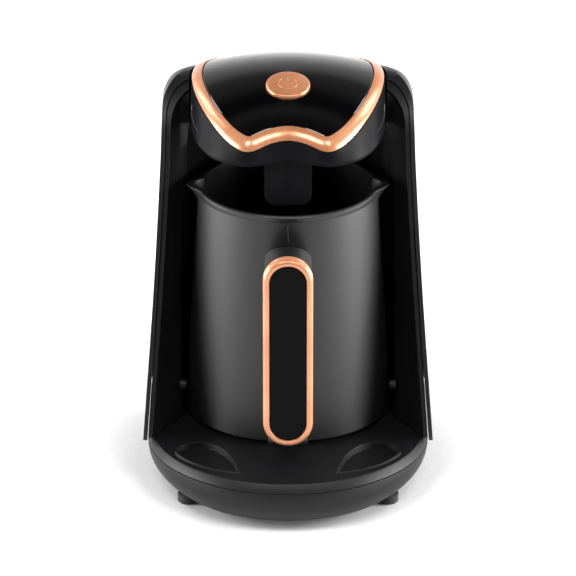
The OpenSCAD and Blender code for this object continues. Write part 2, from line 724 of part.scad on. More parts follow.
module board_screws() color(steel) at_base() at_button() board_screw_places() {
    translate([0, 0, control_top - board_t - 1.5]) cylinder(r = 2.4, h = 1.5);
    translate([0, 0, control_top - board_t - 1]) cylinder(r = 1.2, h = 7);
}

module status_led() color("#e8e4da") at_base() at_button() translate([8, 0, control_top]) {
    cylinder(r = 1.5, h = 4.6);
    translate([0, 0, 4.6]) sphere(1.5);
}

module buzzer() color(dark) at_base() at_button() translate([-16.5, 4, control_top]) difference() {
    cylinder(r = 5.5, h = 4.6);
    translate([0, 0, 4]) cylinder(r = 1, h = 2);
}

// ---------------------------------------------------------------- boil sensor

sensor_y = pot_y - 35.6;
sensor_t = 9;
sensor_corner_r = 6.4;
sensor_wall = 2.4;
window_r = 2;

module sensor_outline(inset) {
    w = sensor_w / 2 - inset;
    z = sensor_z + inset;
    r = sensor_corner_r - inset;
    polygon(concat(arc([-w + r, z + r], r, 180, 270, 10), arc([w - r, z + r], r, 270, 360, 10),
        [[w, head_z], [-w, head_z]]));
}

module sensor_housing() color(matte) at_base() difference() {
    along_y(sensor_y, sensor_y + sensor_t) sensor_outline(0);
    along_y(sensor_y + sensor_wall, sensor_y + sensor_t - sensor_wall) sensor_outline(sensor_wall);
    translate([-3, sensor_y + sensor_wall, head_z - 4]) cube([6, sensor_t - 2 * sensor_wall, 5]);
    translate([0, sensor_y + sensor_t / 2, 0]) cylinder(r = window_r + fit / 2, h = head_z - 10);
    translate([-0.25, sensor_y - 1, sensor_z + 4]) cube([0.5, 1.3, far]);
}

module sensor_window() color("#5b1f1c") at_base()
    translate([0, sensor_y + sensor_t / 2, sensor_z - 0.6]) cylinder(r = window_r, h = sensor_wall + 0.6);

module boil_sensor() color(board_green) at_base()
    translate([-5, sensor_y + sensor_wall + 0.1, sensor_z + sensor_wall])
        cube([10, sensor_t - 2 * sensor_wall - 0.2, 9]);

// ---------------------------------------------------------------- pot

function pot_r_at(z) = pot_foot_r - 0.2
    - (pot_foot_r - 0.2 - pot_rim_r + 0.5) * (z - pot_foot_z) / (pot_rim_z - pot_foot_z);

lip_h = 2.9;                   // height of the band under the rim
plate_t = 1.2;
seal_t = 1.2;
ledge_z = plate_z - plate_t - seal_t;     // top of the ledge that carries the plate
ledge_t = 2.2;
ledge_r = 45.5;
pot_post_r = 41.5;             // where the base's screws stand round the axis
pot_post_size = 3.6;
pot_base_z = pot_foot_z + 0.8; // underside of the base plate
pot_base_t = 2.2;

module pot_posts() for (a = [30, 150, 270]) rotate(a) translate([pot_post_r + 2.4, 0, 0]) children();

// One spout: the wall swells out under the rim to a rounded lip
spout_spread = 9.5;            // how wide it swells, in degrees to each side
spout_t = 1.9;                 // wall of the spout at its lip
spout_skin = 0.6;              // floor of its hollow over its underside
spout_reach = spout_r - pot_rim_r;
// Share of the swell at a height under the rim
function spout_rise(down) = pow(max(0, 1 - down / spout_h), 1.25);
// One level of a swelling: inner ends sunk in the wall, and a bell-shaped front
function spout_ring(z, sunk, amount, spread) =
    let (r = min(pot_rim_r, pot_r_at(z)) - sunk)
    concat([for (a = [-26 : 2 : 26])
            let (q = r + amount * exp(-pow(a / spread, 2))) [q * cos(a), q * sin(a), z]],
        [for (a = [22, -22]) [(r - 5) * cos(a), (r - 5) * sin(a), z]]);
module spout_form() loft([for (down = [spout_h : -spout_h / 6 : 0.8])
    spout_ring(pot_rim_z - down, 0.5, 0.5 + spout_reach * spout_rise(down), spout_spread),
    spout_ring(pot_rim_z - 0.5, 0.5, 0.5 + spout_reach, spout_spread),
    spout_ring(pot_rim_z, 1, 0.5 + spout_reach, spout_spread)]);
module spout_hollow() loft([for (down = [spout_h - spout_skin : -(spout_h - spout_skin) / 5 : 0.5])
    spout_ring(pot_rim_z - down, pot_t + 0.4, (pot_t + 0.4 - spout_t + spout_reach)
        * spout_rise(down + spout_skin), spout_spread - 1.3),
    spout_ring(pot_rim_z + 3, pot_t + 0.4, pot_t + 0.4 - spout_t + spout_reach, spout_spread - 1.3)]);

module pot_body() color(matte) at_pot() difference() {
    union() {
        difference() {
            rotate_extrude($fn = 180) polygon([[0, pot_foot_z], [pot_foot_r - 0.8, pot_foot_z],
                [pot_foot_r - 0.2, pot_foot_z + 0.6],
                [pot_r_at(pot_rim_z - lip_h - 0.4), pot_rim_z - lip_h - 0.4],
                [pot_rim_r - 0.05, pot_rim_z - lip_h], [pot_rim_r, pot_rim_z - 0.8],
                [pot_rim_r - 0.8, pot_rim_z], [0, pot_rim_z]]);
        }
        for (s = [0, 180]) rotate(s) spout_form();
        for (z = handle_screw_z) translate([0, 0, z]) along_y(-pot_r_at(z) - handle_boss, -pot_r_at(z) + 1)
            circle(handle_boss_r);
    }
    rotate_extrude() polygon([[0, ledge_z], [pot_r_at(ledge_z) - pot_t, ledge_z],
        [pot_r_at(pot_rim_z - 3) - pot_t, pot_rim_z - 3], [pot_rim_r - pot_t + 0.6, pot_rim_z + 1],
        [0, pot_rim_z + 1]]);
    for (s = [0, 180]) rotate(s) spout_hollow();
    difference() {
        union() {
            translate([0, 0, pot_foot_z - 1])
                cylinder(r = pot_foot_r - pot_t - 0.6, h = ledge_z - ledge_t - pot_foot_z + 1);
            translate([0, 0, pot_foot_z]) cylinder(r = ledge_r, h = 60);
        }
        pot_posts() translate([0, 0, pot_base_z + pot_base_t])
            cylinder(r = pot_post_size, h = ledge_z - pot_base_z - pot_base_t - 0.5);
    }
    pot_posts() cylinder(r = pilot_r - 0.3, h = ledge_z - 2);
    along_y(pot_r_at(pin_z) - 8, far) plug_outline(fit);
    for (z = handle_screw_z) translate([0, 0, z]) along_y(-far, -pot_r_at(z) + 0.2) circle(pilot_r);
}

module plug_outline(grow) {
    rounded([-13 - grow, pin_z - 5 - grow], [13 + grow, pin_z + 5 + grow], 2);
}

module pot_plug() color(dark) at_pot() difference() {
    along_y(pot_r_at(pin_z) - 7.6, bay_r - 1 - slide_fit) plug_outline(0);
    pin_places() along_y(0, far) circle(pin_r);
}

module plug_pins() color(brass) at_pot()
    pin_places() along_y(pot_r_at(pin_z) - 7, bay_r - 1 - slide_fit + pin_len) circle(pin_r);

module pot_base() color(matte) at_pot() difference() {
    union() {
        translate([0, 0, pot_base_z]) cylinder(r = pot_foot_r - pot_t - 0.6 - fit, h = pot_base_t);
        translate([0, 0, deck_z + stand_gap])
            cylinder(r = pot_ring_r, h = pot_base_z - deck_z - stand_gap + 0.5);
    }
    translate([0, 0, 0]) cylinder(r = pot_ring_r - 3, h = pot_base_z);
    pot_posts() {
        cylinder(r = screw_r - 0.2, h = far);
        cylinder(r = screw_head_r, h = pot_base_z + 0.8);
    }
}

module pot_base_screws() color(steel) at_pot() pot_posts() {
    translate([0, 0, pot_base_z - 0.9]) cylinder(r = screw_head_r - 0.4, h = 1.7);
    translate([0, 0, pot_base_z]) cylinder(r = screw_r - 0.3, h = 11);
}

plate_r = pot_foot_r - pot_t - 2;
module heating_plate() color(steel) at_pot() translate([0, 0, plate_z - plate_t])
    rotate_extrude() polygon([[0, 0], [plate_r, 0], [plate_r, plate_t - 0.3], [plate_r - 0.3, plate_t],
        [plate_r - 4, plate_t], [plate_r - 5, plate_t - 0.3], [0, plate_t - 0.3]]);

module plate_seal() color("#a9aaa6") at_pot() translate([0, 0, ledge_z]) difference() {
    cylinder(r = plate_r, h = seal_t);
    translate([0, 0, -1]) cylinder(r = ledge_r + 0.5, h = seal_t + 2);
}

spreader_t = 2.4;
spreader_r = 36;
module heat_spreader() color("#9a9da2") at_pot()
    translate([0, 0, plate_z - plate_t - spreader_t]) cylinder(r = spreader_r, h = spreader_t);

element_r = 3.2;
element_ring_r = 27;
module heating_element() color("#6f6a66") at_pot()
    translate([0, 0, plate_z - plate_t - spreader_t - element_r]) {
        rotate(120) rotate_extrude(angle = 300) translate([element_ring_r, 0]) circle(element_r);
        for (a = [129, 51]) rotate(a) translate([element_ring_r, 0, -element_r - 3])
            cylinder(r = 1.4, h = element_r + 3);
    }

module pot_thermostat() color("#c9c2b0") at_pot()
    translate([0, 0, plate_z - plate_t - spreader_t - 7]) {
        translate([0, 0, 3]) cylinder(r = 9, h = 4);
        cylinder(r = 6.5, h = 3);
    }

// ---------------------------------------------------------------- handle

handle_screw_z = [handle_z + 6.5, handle_top_z - 24];
handle_boss = 9;
handle_boss_r = 4.6;
ring_d = 6.5;             // depth of the metal ring
face_y = -handle_reach;   // front of the ring, from the pot's axis
stadium_r = handle_w / 2;
inset_gap = 0.15;

module stadium(inset) {
    r = stadium_r - inset;
    polygon(concat(arc([0, handle_top_z - stadium_r], r, 0, 180, 36),
        arc([0, handle_z + stadium_r], r, 180, 360, 36)));
}

// Side view of the handle: arms that sweep from the pot into an upright grip
module handle_side() {
    y0 = face_y + 3;                    // front of the grip, behind the ring
    y1 = face_y + grip_t;               // back of the grip
    wall = -pot_r_at(handle_z) + 4;     // the arms run on past the pot's wall
    z0 = handle_z - 2;
    z1 = handle_top_z;
    difference() {
        polygon(concat(arc([y0 + 5, z0 + 5], 5, 180, 270, 8), [[wall, z0 + 2], [wall, z1 - 18]],
            arc([y1 + 3, z1 - 12], 12, 70, 100, 6), arc([y0 + 4, z1 - 4.2], 4, 95, 180, 6)));
        polygon(concat(arc([y1 + 8, handle_z + 22], 8, 180, 270, 8),
            [[wall + 1, handle_z + 12.5], [wall + 1, z1 - 44]],
            arc([y1 + 12, z1 - 48], 12, 80, 180, 10)));
    }
}

module handle_foot(grow) {
    rounded([-10.5 - grow, handle_z - 2 - grow], [10.5 + grow, handle_z + 30], 3);
}

module handle_body() color(matte) at_pot() difference() {
    intersection() {
        along_x(far) handle_side();
        along_y(-far, 0) union() {
            stadium(0.7);
            handle_foot(0);
        }
    }
    rotate_extrude() polygon([[0, 0], [pot_foot_r + fit, 0], [pot_foot_r + fit, pot_foot_z],
        [pot_r_at(pot_rim_z) + fit, pot_rim_z], [0, pot_rim_z]]);
    for (z = handle_screw_z) translate([0, 0, z]) {
        along_y(-pot_r_at(z) - handle_boss - fit, 0) circle(handle_boss_r + fit);
        along_y(-far, 0) circle(screw_r + fit);
        along_y(-far, face_y + 6) circle(screw_head_r + fit);
    }
}

module handle_ring() color(copper) at_pot() difference() {
    union() {
        along_y(face_y + 0.9, face_y + ring_d) stadium(0);
        along_y(face_y, face_y + 1) stadium(0.9);
    }
    along_y(face_y - 1, face_y + 1.6) stadium(ring_w);
    along_y(face_y - 1, face_y + 3) stadium(ring_w + 0.6);
    along_y(face_y + 3 - fit, face_y + ring_d + 1) stadium(0.7 - fit);
    along_y(face_y + 3 - fit, face_y + ring_d + 1) handle_foot(fit);
}

module handle_inset() color(gloss) at_pot() difference() {
    union() {
        along_y(face_y + 0.7, face_y + 1.6) stadium(ring_w + inset_gap + 0.3);
        along_y(face_y + 1.5, face_y + 3) stadium(ring_w + 0.6 + inset_gap);
    }
}

module handle_screws() color(steel) at_pot() for (z = handle_screw_z) translate([0, 0, z]) {
    along_y(face_y + 4, face_y + 6) circle(screw_head_r);
    along_y(face_y + 5, -pot_r_at(z) - 2) circle(screw_r);
}

// ---------------------------------------------------------------- parts

base_bowl();
base_deck();
rubber_feet();
base_screws();
cord_gland();
power_board();
transformer();
relay();
capacitor();
wire_harness();
socket_wires();
outer_shell();
inner_liner();
shell_screws();
pot_socket();
head_housing();
head_trim();
top_panel();
head_screws();
power_button();
switch_plunger();
tact_switch();
control_board();
board_screws();
status_led();
buzzer();
sensor_housing();
sensor_window();
boil_sensor();
pot_body();
pot_base();
pot_base_screws();
heating_plate();
plate_seal();
heat_spreader();
heating_element();
pot_thermostat();
pot_plug();
plug_pins();
handle_body();
handle_ring();
handle_inset();
handle_screws();
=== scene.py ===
"""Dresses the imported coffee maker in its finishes, smooth skins and small marks, and sets its stage."""

import json
import math

import bpy
from mathutils import Matrix, Vector


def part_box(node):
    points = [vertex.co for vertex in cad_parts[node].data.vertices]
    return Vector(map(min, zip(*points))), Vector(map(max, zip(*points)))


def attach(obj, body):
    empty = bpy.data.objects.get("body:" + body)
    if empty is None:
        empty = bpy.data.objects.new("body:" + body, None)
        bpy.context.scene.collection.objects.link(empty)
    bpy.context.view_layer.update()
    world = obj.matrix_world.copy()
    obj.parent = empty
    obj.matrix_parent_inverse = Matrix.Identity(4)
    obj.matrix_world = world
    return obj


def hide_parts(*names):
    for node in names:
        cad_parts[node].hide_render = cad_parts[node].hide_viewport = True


bl_info = {
    "name": "Turkish coffee maker finishes",
    "version": (1, 0, 0),
    "blender": (4, 5, 0),
    "location": "View3D > Sidebar > Coffee maker",
    "description": "Finishes, smooth skins and marks for the packed coffee maker, and its stage",
    "category": "Object",
}

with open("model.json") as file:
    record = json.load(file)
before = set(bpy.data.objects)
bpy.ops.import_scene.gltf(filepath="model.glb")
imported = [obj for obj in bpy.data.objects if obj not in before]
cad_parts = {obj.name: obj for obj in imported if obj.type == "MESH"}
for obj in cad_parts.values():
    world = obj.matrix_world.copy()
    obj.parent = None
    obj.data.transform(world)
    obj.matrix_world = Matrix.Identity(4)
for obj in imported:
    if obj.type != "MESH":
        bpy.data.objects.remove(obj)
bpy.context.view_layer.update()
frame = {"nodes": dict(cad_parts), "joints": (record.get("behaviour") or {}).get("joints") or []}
MM = 0.001

BODY, BUTTON, POT = "body", "button", "pot"

WELD = 0.01 * MM  # corners closer than this are merged
FINE_WELD = 0.001 * MM  # the same for the smallest pieces
RAY_START = 200 * MM  # from the middle to where a ray that looks for a skin starts

ABS_IOR = 1.53
EDGE_SAMPLES = 4  # rays that find the soft edge at each point


# ------------------------------------------------------------------ settings


def srgb(code):
    """A hex colour as linear red, green, blue and alpha."""
    parts = [int(code[i : i + 2], 16) / 255 for i in (1, 3, 5)]
    return [c / 12.92 if c <= 0.04045 else ((c + 0.055) / 1.055) ** 2.4 for c in parts] + [1.0]


def colour(name, description, code):
    return bpy.props.FloatVectorProperty(
        name=name, description=description, subtype="COLOR", size=4, min=0, max=1, default=srgb(code)
    )


def length(name, description, mm):
    """A length that is written in millimetres and kept in metres."""
    return bpy.props.FloatProperty(
        name=name, description=description, subtype="DISTANCE", unit="LENGTH", default=mm * MM
    )


def angle(name, description, degrees):
    return bpy.props.FloatProperty(
        name=name, description=description, subtype="ANGLE", default=math.radians(degrees)
    )


class FinishSettings(bpy.types.PropertyGroup):
    """Colours of the finishes, and the widths of their patterns"""

    shell: colour("Shell", "Matte plastic of the shell", "#18181a")
    charcoal: colour("Charcoal", "Matte plastic of the liner and the beads on the head's cheeks", "#151517")
    soot: colour("Soot", "Matte plastic of the base, the head, the pot and the handle", "#0e0e10")
    gloss: colour("Gloss black", "Top panel and handle inset", "#060607")
    copper: colour("Copper", "Trim, button and handle ring", "#dc9a72")
    copper_shade: colour("Copper shade", "Deeper patches in the copper lacquer", "#c57f57")
    rubber: colour("Rubber", "Feet and cord gland", "#141414")
    # real grain and flakes are under 0.1 mm, and are drawn as coarse as they need to be to show
    grain: length("Grain", "Width of a grain of the moulded plastic", 0.55)
    flake: length("Flake", "Width of a flake in the copper lacquer", 0.45)
    patch: length("Patch", "Width of a deeper patch in the copper lacquer", 18)
    cloud: length("Cloud", "Width of the slow changes in the moulded plastic's sheen", 55)
    ripple: length("Ripple", "Width of the slow ripple in the polished plastic", 26)
    soft_edge: length("Soft edge", "Radius on which plastic and lacquered edges catch the light", 0.45)


class MarkSettings(bpy.types.PropertyGroup):
    """Sizes of the power mark on the button"""

    ring: length("Ring", "Radius of the power mark's open ring", 5.0)
    line: length("Line", "Width of the power mark's line", 1.0)
    height: length("Height", "Thickness of the mark, part of it sunk in the button", 0.36)
    sink: length("Sink", "How far the mark's foot lies below the crest of the button", 0.4)
    corner: length("Corner", "Radius of the two top corners of the mark's line", 0.216)
    bar: length("Bar", "Length of the bar in the ring's opening", 2.6)
    gap: angle("Gap", "Opening at the back of the ring", 84)


class RingSettings(bpy.types.PropertyGroup):
    """Section of the handle's ring"""

    width: length("Width", "Width of the handle's ring, seen from the front", 3.3)
    depth: length("Depth", "Depth of the ring's rounded front", 2.6)
    outer_round: length("Outer rounding", "Radius of the ring's outer edge", 2.2)
    inner_round: length("Inner rounding", "Radius of the edge round the inset", 0.35)
    lap: length("Lap", "How far the ring's rear part reaches into its rounded front", 0.05)


class SeamSettings(bpy.types.PropertyGroup):
    """Sizes of the pot's mould line and the beads on the head's cheeks"""

    width: length("Width", "Width of the mould line down the pot's front", 0.5)
    height: length("Height", "How far the mould line stands proud", 0.12)
    sunk: length("Sunk", "How far the mould line reaches into the pot's wall", 0.3)
    below_rim: length("Below the rim", "From the pot's rim down to the mould line's upper end", 5.5)
    behind_handle: length("Behind the handle", "How far the mould line runs on below the handle's top", 6)
    bead: length("Bead", "Radius of the bead on each cheek of the head", 0.45)


class StageSettings(bpy.types.PropertyGroup):
    """Camera and lamps"""

    distance: length("Distance", "From the camera to the middle of the object", 2600)
    elevation: angle("Elevation", "Camera's angle above the table", 22.8)
    lens: bpy.props.FloatProperty(name="Lens", description="Focal length on a 36 mm sensor", default=303.75)
    aim_height: length("Aim height", "Height that the camera looks at", 111)
    aim_depth: length("Aim depth", "Depth of the point the camera looks at, from the middle", -17.3)
    lamp_aim: length("Lamp aim", "Height that the lamps are turned to", 120)
    lamps: bpy.props.FloatProperty(name="Lamps", description="Level of all lamps", default=1.0)


# ------------------------------------------------------------------ nodes


def feed(tree, made, feeds):
    """Gives a node's sockets their plain values or other nodes' outputs."""
    for socket, source in feeds.items():
        if isinstance(source, bpy.types.NodeSocket):
            tree.links.new(source, made.inputs[socket])
        else:
            made.inputs[socket].default_value = source


def node(tree, kind, feeds=None, stops=(), **choices):
    """Adds a node. feeds go to its sockets, stops to its colour ramp, where a number is a grey, and
    choices are its own settings.
    """
    made = tree.nodes.new(kind)
    for name, value in choices.items():
        setattr(made, name, value)
    feed(tree, made, feeds or {})
    if stops:
        elements = made.color_ramp.elements
        while len(elements) < len(stops):
            elements.new(0.5)
        for element, (at, shade) in zip(elements, stops):
            element.position = at
            element.color = (*shade[:3], 1) if hasattr(shade, "__len__") else (shade, shade, shade, 1)
    return made


def new_material(name):
    """An empty material with its tree, its surface and the place on the object that patterns read."""
    material = bpy.data.materials.new(name)
    material.use_nodes = True
    tree = material.node_tree
    tree.nodes.clear()
    surface = node(tree, "ShaderNodeBsdfPrincipled")
    node(tree, "ShaderNodeOutputMaterial", {"Surface": surface.outputs[0]}, is_active_output=True)
    place = node(tree, "ShaderNodeTexCoord").outputs["Object"]
    return material, tree, surface, place


def tones(base, darker, lighter=1.0):
    """A colour made a little darker and a little lighter."""
    return [c * darker for c in base[:3]], [min(1, c * lighter) for c in base[:3]]


# ------------------------------------------------------------------ materials


def moulded_abs(name, base, roughness, grain=None, bump=0.1, specular=0.5):
    """ABS from a spark-eroded mould: its fine grain spreads highlights into a soft, even sheen."""
    finish = bpy.context.scene.coffee_finish
    grain = grain or finish.grain
    material, tree, surface, place = new_material(name)
    speck = node(tree, "ShaderNodeTexNoise", {"Vector": place, "Scale": 1 / grain, "Detail": 2})
    cloud = node(tree, "ShaderNodeTexNoise", {"Vector": place, "Scale": 1 / finish.cloud, "Detail": 2})
    dark, light = tones(base, 0.88, 1.16)
    tone = node(
        tree, "ShaderNodeValToRGB", {"Fac": speck.outputs["Fac"]}, stops=((0.35, dark), (0.65, light))
    )
    rough = node(
        tree, "ShaderNodeValToRGB", {"Fac": cloud.outputs["Fac"]},
        stops=((0.3, roughness - 0.03), (0.7, roughness + 0.03)),
    )
    edge = node(tree, "ShaderNodeBevel", {"Radius": finish.soft_edge}, samples=EDGE_SAMPLES)
    rise = node(tree, "ShaderNodeBump", {
        "Height": speck.outputs["Fac"], "Normal": edge.outputs[0], "Strength": bump, "Distance": 0.3 * grain,
    })
    feed(tree, surface, {
        "Base Color": tone.outputs[0],
        "Roughness": rough.outputs[0],
        "Normal": rise.outputs[0],
        "IOR": ABS_IOR,
        "Specular IOR Level": specular,
    })
    return material


def polished_abs(name, base, coat=0.6, specular=0.5):
    """Black ABS from a polished mould: mirror gloss with a faint slow ripple."""
    finish = bpy.context.scene.coffee_finish
    material, tree, surface, place = new_material(name)
    ripple = node(tree, "ShaderNodeTexNoise", {"Vector": place, "Scale": 1 / finish.ripple, "Detail": 1})
    edge = node(tree, "ShaderNodeBevel", {"Radius": finish.soft_edge}, samples=EDGE_SAMPLES)
    rise = node(tree, "ShaderNodeBump", {
        "Height": ripple.outputs["Fac"], "Normal": edge.outputs[0], "Strength": 0.04, "Distance": 0.4 * MM,
    })
    feed(tree, surface, {
        "Base Color": base,
        "Roughness": 0.06,
        "Normal": rise.outputs[0],
        "IOR": ABS_IOR,
        "Specular IOR Level": specular,
        "Coat Weight": coat,
        "Coat Roughness": 0.03,
    })
    return material


def copper_lacquer(name, roughness):
    """Copper-coloured metal paint on plastic: fine flakes under lacquer give a broad, warm highlight."""
    finish = bpy.context.scene.coffee_finish
    material, tree, surface, place = new_material(name)
    flake = node(tree, "ShaderNodeTexNoise", {"Vector": place, "Scale": 1 / finish.flake, "Detail": 2})
    patch = node(tree, "ShaderNodeTexNoise", {"Vector": place, "Scale": 1 / finish.patch, "Detail": 1})
    both = node(tree, "ShaderNodeMath", {0: flake.outputs["Fac"], 1: patch.outputs["Fac"]}, operation="ADD")
    mean = node(tree, "ShaderNodeMath", {0: both.outputs[0], 1: 0.5}, operation="MULTIPLY")
    tone = node(
        tree, "ShaderNodeValToRGB", {"Fac": mean.outputs[0]},
        stops=((0.36, finish.copper_shade), (0.64, finish.copper)),
    )
    rough = node(
        tree, "ShaderNodeValToRGB", {"Fac": flake.outputs["Fac"]},
        stops=((0.3, roughness - 0.03), (0.7, roughness + 0.04)),
    )
    edge = node(tree, "ShaderNodeBevel", {"Radius": finish.soft_edge}, samples=EDGE_SAMPLES)
    rise = node(tree, "ShaderNodeBump", {
        "Height": flake.outputs["Fac"], "Normal": edge.outputs[0], "Strength": 0.05, "Distance": 0.1 * MM,
    })
    feed(tree, surface, {
        "Base Color": tone.outputs[0],
        "Roughness": rough.outputs[0],
        "Normal": rise.outputs[0],
        "Metallic": 0.38,
        "Coat Weight": 0.4,
        "Coat Roughness": 0.12,
    })
    return material


def plain_metal(name, code, roughness, brush_mm=0.3):
    """Turned or rolled metal: fine marks break the highlight up."""
    material, tree, surface, place = new_material(name)
    mark = node(tree, "ShaderNodeTexNoise", {"Vector": place, "Scale": 1 / (brush_mm * MM), "Detail": 2})
    dark, light = tones(srgb(code), 0.86)
    tone = node(tree, "ShaderNodeValToRGB", {"Fac": mark.outputs["Fac"]}, stops=((0.3, dark), (0.7, light)))
    rough = node(
        tree, "ShaderNodeValToRGB", {"Fac": mark.outputs["Fac"]},
        stops=((0.3, roughness - 0.05), (0.7, roughness + 0.07)),
    )
    feed(tree, surface, {"Base Color": tone.outputs[0], "Roughness": rough.outputs[0], "Metallic": 1})
    return material


def soft_rubber(name, base):
    """Moulded rubber: dull, with a soft bloom."""
    material = moulded_abs(name, base, roughness=0.72, grain=0.9 * MM, bump=0.2)
    material.node_tree.nodes["Principled BSDF"].inputs["Sheen Weight"].default_value = 0.1
    return material


def small_part(name, code, roughness, speck_mm=0.8):
    """Boards, wires and blocks inside, each of one tinted plastic or lacquer with a fine speck."""
    material, tree, surface, place = new_material(name)
    speck = node(tree, "ShaderNodeTexNoise", {"Vector": place, "Scale": 1 / (speck_mm * MM), "Detail": 2})
    dark, light = tones(srgb(code), 0.85)
    tone = node(
        tree, "ShaderNodeValToRGB", {"Fac": speck.outputs["Fac"]}, stops=((0.35, dark), (0.65, light))
    )
    feed(tree, surface, {"Base Color": tone.outputs[0], "Roughness": roughness})
    return material


# ------------------------------------------------------------------ shaping


def deselect_all():
    if bpy.context.object and bpy.context.object.mode != "OBJECT":
        bpy.ops.object.mode_set(mode="OBJECT")
    bpy.ops.object.select_all(action="DESELECT")


def make_active(piece):
    deselect_all()
    piece.select_set(True)
    bpy.context.view_layer.objects.active = piece


def start_plane(name, width, depth):
    """Starts a piece as a flat rectangle, left in edit mode with all of it selected."""
    deselect_all()
    bpy.ops.mesh.primitive_plane_add(size=1, location=(0, 0, 0))
    piece = bpy.context.object
    piece.name = name
    bpy.ops.object.mode_set(mode="EDIT")
    bpy.ops.mesh.select_all(action="SELECT")
    bpy.ops.transform.resize(value=(width, depth, 1))
    return piece


def close_up(weld=FINE_WELD):
    """Merges the doubles of the piece in edit mode, turns its faces outwards and leaves edit mode."""
    bpy.ops.mesh.select_all(action="SELECT")
    bpy.ops.mesh.remove_doubles(threshold=weld)
    bpy.ops.mesh.normals_make_consistent(inside=False)
    bpy.ops.object.mode_set(mode="OBJECT")


def select_points(piece, wanted):
    """In edit mode, selects the vertices whose place passes a test."""
    bpy.ops.mesh.select_all(action="DESELECT")
    bpy.ops.object.mode_set(mode="OBJECT")
    for vertex in piece.data.vertices:
        vertex.select = bool(wanted(vertex.co))
    bpy.ops.object.mode_set(mode="EDIT")


def touch(skin, start, way):
    """The point where a straight line first meets a skin."""
    met, point, _, _ = skin.ray_cast(Vector(start), Vector(way))
    if not met:
        raise RuntimeError("nothing met on " + skin.name)
    return point


def finish_piece(piece, material, body):
    """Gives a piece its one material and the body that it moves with."""
    piece.data.materials.clear()
    piece.data.materials.append(material)
    for face in piece.data.polygons:
        face.material_index = 0
    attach(piece, body)


def smooth_skin(cad_node, material, body, round_below=32):
    """A copy of a CAD node in its place, with its triangles merged and its curves shaded round."""
    piece = bpy.data.objects.new(cad_node + "_skin", frame["nodes"][cad_node].data.copy())
    bpy.context.scene.collection.objects.link(piece)
    make_active(piece)
    bpy.ops.object.mode_set(mode="EDIT")
    bpy.ops.mesh.select_all(action="SELECT")
    bpy.ops.mesh.remove_doubles(threshold=WELD)
    bpy.ops.mesh.customdata_custom_splitnormals_clear()
    bpy.ops.object.mode_set(mode="OBJECT")
    bpy.ops.object.shade_smooth_by_angle(angle=math.radians(round_below))
    finish_piece(piece, material, body)
    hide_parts(cad_node)
    return piece


def paint(cad_node, material):
    """Gives a CAD node that stays its finish."""
    mesh = frame["nodes"][cad_node].data
    mesh.materials.clear()
    mesh.materials.append(material)


# ------------------------------------------------------------------ pieces


class COFFEE_OT_mould_body(bpy.types.Operator):
    """Moulds the base, the shell, the liner and the head in matte plastic"""

    bl_idname = "coffee.mould_body"
    bl_label = "Body mouldings"

    # depth and height in millimetres of the points that the bead on a cheek runs through
    bead_line = ((3, 192.2), (9, 192.3), (15, 192.6), (20, 193.2), (24, 194.6), (26.5, 197), (27.5, 200))
    bead_tip = 0.3  # thickness at the bead's two ends, as a share of its middle

    def execute(self, context):
        finish = context.scene.coffee_finish
        shell = moulded_abs("shell_moulded_abs", finish.shell, roughness=0.4, specular=0.32)
        liner = moulded_abs("liner_moulded_abs", finish.charcoal, roughness=0.46, specular=0.24)
        base = moulded_abs("base_moulded_abs", finish.soot, roughness=0.46, specular=0.26)
        head = moulded_abs("head_moulded_abs", finish.soot, roughness=0.42, specular=0.05)
        bead = moulded_abs("bead_polished_abs", finish.charcoal, roughness=0.3, bump=0.02, specular=0.6)
        smooth_skin("outer_shell", shell, BODY)
        smooth_skin("inner_liner", liner, BODY)
        for name in ("head_housing", "sensor_housing"):
            smooth_skin(name, head, BODY)
        smooth_skin("base_bowl", base, BODY)
        smooth_skin("base_deck", base, BODY, round_below=20)
        for side, way in (("left", 1), ("right", -1)):
            self.cheek_bead("cheek_bead_" + side, way, bead, context.scene.coffee_seam.bead)
        return {"FINISHED"}

    def cheek_bead(self, name, way, material, radius):
        """A fine bead along the cheek that curves up at the back, half sunk in it."""
        skin = bpy.data.objects["head_housing_skin"]
        outside = -RAY_START * way
        points = [touch(skin, (outside, y * MM, z * MM), (way, 0, 0)) for y, z in self.bead_line]
        deselect_all()
        bpy.ops.curve.primitive_nurbs_path_add(location=(0, 0, 0))
        path = bpy.context.object
        path.name = name
        spline = path.data.splines[0]
        spline.points.add(len(points) - len(spline.points))
        for knot, point in zip(spline.points, points):
            knot.co = (*point, 1)
            knot.radius = 1
        for tip in (spline.points[0], spline.points[-1]):
            tip.radius = self.bead_tip
        spline.use_endpoint_u = True
        path.data.bevel_depth = radius
        path.data.bevel_resolution = 3
        path.data.use_fill_caps = True
        bpy.ops.object.convert(target="MESH")
        bead = bpy.context.object
        bpy.ops.object.mode_set(mode="EDIT")
        close_up()
        bpy.ops.object.shade_smooth()
        finish_piece(bead, material, BODY)


class COFFEE_OT_head_top(bpy.types.Operator):
    """Adds the copper trim and the gloss panel on the head"""

    bl_idname = "coffee.head_top"
    bl_label = "Head trim and panel"

    def execute(self, context):
        copper = copper_lacquer("trim_copper_lacquer", roughness=0.25)
        smooth_skin("head_trim", copper, BODY, round_below=60)
        gloss = polished_abs("panel_polished_abs", context.scene.coffee_finish.gloss)
        smooth_skin("top_panel", gloss, BODY, round_below=18)
        return {"FINISHED"}


